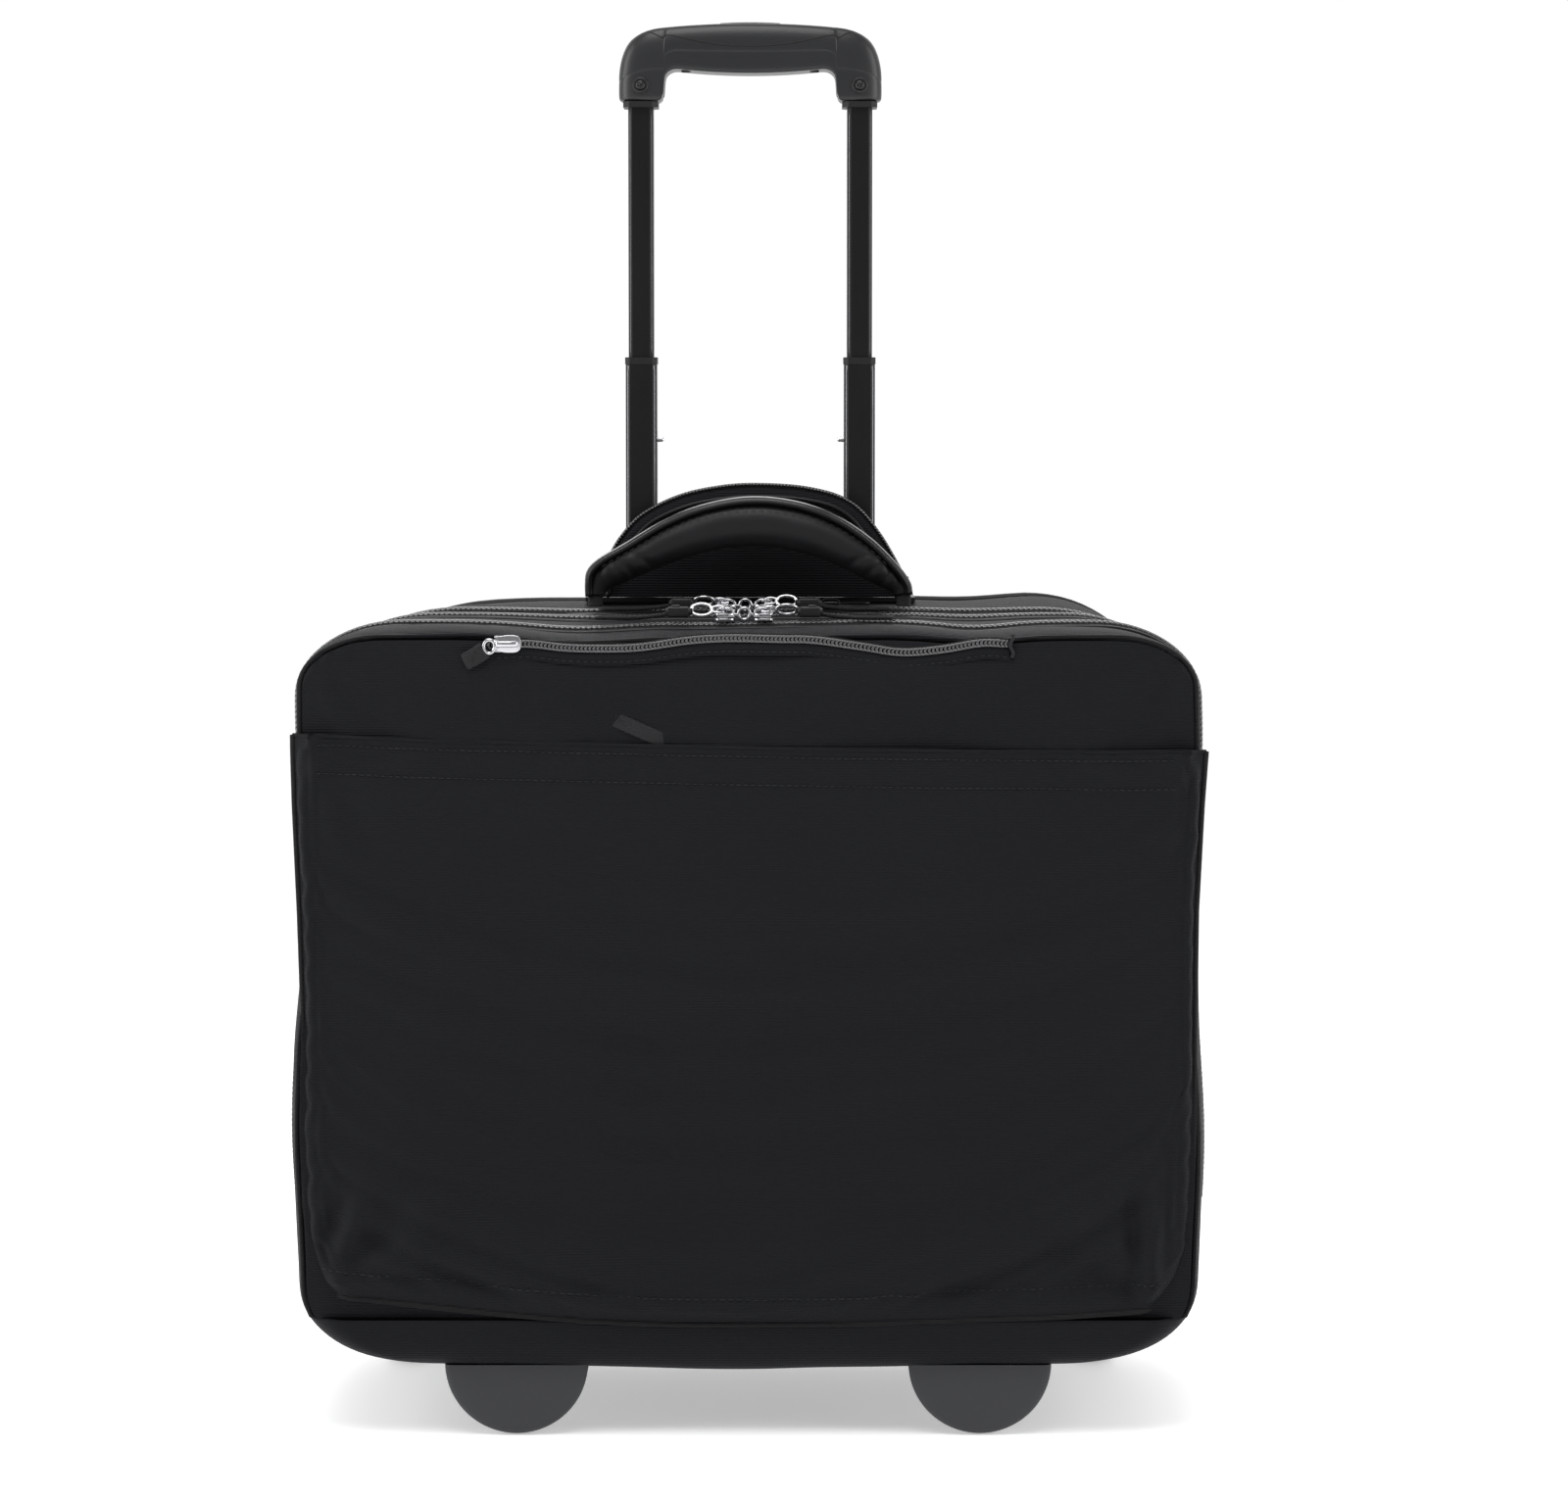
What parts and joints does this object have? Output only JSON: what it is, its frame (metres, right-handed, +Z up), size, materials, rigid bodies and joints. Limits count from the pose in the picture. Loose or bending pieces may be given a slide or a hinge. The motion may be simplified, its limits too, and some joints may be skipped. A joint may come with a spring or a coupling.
{
  "type": "pilot rolling flight case",
  "caption": "Soft wheeled flight case with zipped sections that fold open, a slip pocket, a carry handle, a hooded well and a two-stage pull-up trolley handle.",
  "frame": {"origin": "on the floor, under the middle of the case's overall box", "axes": "+X to the right seen from the front, +Y from the front to the back, +Z up"},
  "size_m": [0.434, 0.216, 0.6804],
  "materials": {
    "shell_fabric": "satin ribbed nylon",
    "pocket_fabric": "satin ribbed nylon",
    "trim_fabric": "woven binding",
    "webbing": "woven webbing",
    "zip_coil": "glossy coil",
    "handle_leather": "soft sheen",
    "cord_black": "braided",
    "plastic_black": "moulded matte",
    "plastic_grip": "satin moulded",
    "plastic_button": "satin",
    "plastic_grey": "moulded matte",
    "tube_black": "black anodised satin",
    "steel": "bright",
    "silver": "nickel plated",
    "tyre_rubber": "matte rubber",
    "board": "matte board"
  },
  "bodies": {
    "root": {"base_tray": "plastic_black", "bottom_shell": "shell_fabric", "rear_shell": "shell_fabric", "back_board": "board", "rear_piping": "trim_fabric", "rear_zip_half": "zip_coil", "handle_well": "plastic_black", "outer_tubes": "tube_black", "tube_foot_bracket": "plastic_black", "wheel_housing_left": "plastic_black", "wheel_housing_right": "plastic_black", "axles": "steel", "front_feet": "plastic_grey", "base_screws": "steel"},
    "wheel_left": {"tyre_left": "tyre_rubber", "hub_left": "plastic_grey"},
    "wheel_right": {"tyre_right": "tyre_rubber", "hub_right": "plastic_grey"},
    "trolley_middle": {"middle_tubes": "tube_black", "middle_caps": "plastic_black"},
    "trolley_inner": {"inner_tubes": "tube_black", "tube_collars": "plastic_black", "grip_body": "plastic_grip", "grip_screws": "steel", "lock_bodies": "plastic_black"},
    "button": {"release_button": "plastic_button"},
    "pin_left": {"lock_pin_left": "steel"},
    "pin_right": {"lock_pin_right": "steel"},
    "hood": {"hood_flap": "shell_fabric", "hood_zip": "zip_coil"},
    "middle_section": {"middle_shell": "shell_fabric", "middle_zip_halves": "zip_coil"},
    "handle": {"carry_handle": "handle_leather"},
    "front_section": {"front_shell": "shell_fabric", "front_zip_halves": "zip_coil"},
    "cover": {"cover_shell": "shell_fabric", "cover_zip_half": "zip_coil", "front_piping": "trim_fabric", "slip_pocket": "pocket_fabric", "webbing_tabs": "webbing", "pocket_zip": "zip_coil"},
    "rear_zip_slider": {"rear_slider": "silver"},
    "pocket_zip_slider": {"pocket_slider": "silver"},
    "pocket_pull": {"pocket_puller": "webbing"},
    "front_left_slider": {"front_slider_left": "silver"},
    "front_left_pull": {"front_puller_left": "silver", "front_cord_left": "cord_black", "front_stop_left": "plastic_black"},
    "front_right_slider": {"front_slider_right": "silver"},
    "front_right_pull": {"front_puller_right": "silver", "front_cord_right": "cord_black", "front_stop_right": "plastic_black"},
    "middle_left_slider": {"middle_slider_left": "silver"},
    "middle_left_pull": {"middle_puller_left": "silver", "middle_cord_left": "cord_black", "middle_stop_left": "plastic_black"},
    "middle_right_slider": {"middle_slider_right": "silver"},
    "middle_right_pull": {"middle_puller_right": "silver", "middle_cord_right": "cord_black", "middle_stop_right": "plastic_black"}
  },
  "joints": [
    {"name": "wheel_left_spin", "type": "hinge", "parent": "root", "child": "wheel_left", "pos_m": [-0.176, 0.076, 0.032], "axis": [1, 0, 0], "continuous": true},
    {"name": "wheel_right_spin", "type": "hinge", "parent": "root", "child": "wheel_right", "pos_m": [0.176, 0.076, 0.032], "axis": [1, 0, 0], "continuous": true},
    {"name": "trolley_lower_stage", "type": "slide", "parent": "root", "child": "trolley_middle", "axis": [0, 0, 1], "range_m": [-0.162, 0.084]},
    {"name": "trolley_upper_stage", "type": "slide", "parent": "trolley_middle", "child": "trolley_inner", "axis": [0, 0, 1], "range_m": [-0.124, 0]},
    {"name": "release_button_press", "type": "slide", "parent": "trolley_inner", "child": "button", "axis": [0, 0, -1], "range_m": [0, 0.003], "stiffness_N_per_m": 900},
    {"name": "lock_pin_left_draw", "type": "slide", "parent": "trolley_inner", "child": "pin_left", "axis": [-1, 0, 0], "range_m": [0, 0.0033]},
    {"name": "lock_pin_right_draw", "type": "slide", "parent": "trolley_inner", "child": "pin_right", "axis": [1, 0, 0], "range_m": [0, 0.0033]},
    {"name": "hood_flap_fold", "type": "hinge", "parent": "root", "child": "hood", "pos_m": [0, 0.0455, 0.391], "axis": [1, 0, 0], "range_deg": [-17, 15]},
    {"name": "carry_handle_fold", "type": "hinge", "parent": "middle_section", "child": "handle", "pos_m": [0, 0.018, 0.3895], "axis": [1, 0, 0], "range_deg": [-10, 45]},
    {"name": "middle_section_open", "type": "hinge", "parent": "root", "child": "middle_section", "pos_m": [0, -0.1065, 0.0555], "axis": [-1, 0, 0], "range_deg": [-30, 0]},
    {"name": "front_section_open", "type": "hinge", "parent": "middle_section", "child": "front_section", "pos_m": [0, -0.1065, 0.0555], "axis": [-1, 0, 0], "range_deg": [-55, 0]},
    {"name": "front_cover_open", "type": "hinge", "parent": "front_section", "child": "cover", "pos_m": [0, -0.1065, 0.0555], "axis": [1, 0, 0], "range_deg": [0, 85]},
    {"name": "front_left_slider_run", "type": "slide", "parent": "cover", "child": "front_left_slider", "axis": [-1, 0, 0], "range_m": [0, 0.1]},
    {"name": "front_left_pull_lift", "type": "hinge", "parent": "front_left_slider", "child": "front_left_pull", "pos_m": [-0.012, -0.064, 0.3904], "axis": [0, 1, 0], "range_deg": [0, 95]},
    {"name": "front_right_slider_run", "type": "slide", "parent": "cover", "child": "front_right_slider", "axis": [1, 0, 0], "range_m": [0, 0.1]},
    {"name": "front_right_pull_lift", "type": "hinge", "parent": "front_right_slider", "child": "front_right_pull", "pos_m": [0.008, -0.064, 0.3904], "axis": [0, -1, 0], "range_deg": [0, 95]},
    {"name": "middle_left_slider_run", "type": "slide", "parent": "front_section", "child": "middle_left_slider", "axis": [-1, 0, 0], "range_m": [0, 0.1]},
    {"name": "middle_left_pull_lift", "type": "hinge", "parent": "middle_left_slider", "child": "middle_left_pull", "pos_m": [-0.012, 0.002, 0.3914], "axis": [0, 1, 0], "range_deg": [0, 95]},
    {"name": "middle_right_slider_run", "type": "slide", "parent": "front_section", "child": "middle_right_slider", "axis": [1, 0, 0], "range_m": [0, 0.1]},
    {"name": "middle_right_pull_lift", "type": "hinge", "parent": "middle_right_slider", "child": "middle_right_pull", "pos_m": [0.008, 0.002, 0.3914], "axis": [0, -1, 0], "range_deg": [0, 95]},
    {"name": "rear_slider_run", "type": "slide", "parent": "middle_section", "child": "rear_zip_slider", "axis": [1, 0, 0], "range_m": [-0.08, 0.1]},
    {"name": "pocket_slider_run", "type": "slide", "parent": "cover", "child": "pocket_zip_slider", "axis": [1, 0, 0], "range_m": [0, 0.22]},
    {"name": "pocket_pull_lift", "type": "hinge", "parent": "pocket_zip_slider", "child": "pocket_pull", "pos_m": [-0.121, -0.1049, 0.3735], "axis": [0, 0, 1], "range_deg": [0, 150]}
  ],
  "couplings": [
    {"joint": "lock_pin_left_draw", "follows": "release_button_press", "ratio": 1.1},
    {"joint": "lock_pin_right_draw", "follows": "release_button_press", "ratio": 1.1}
  ]
}
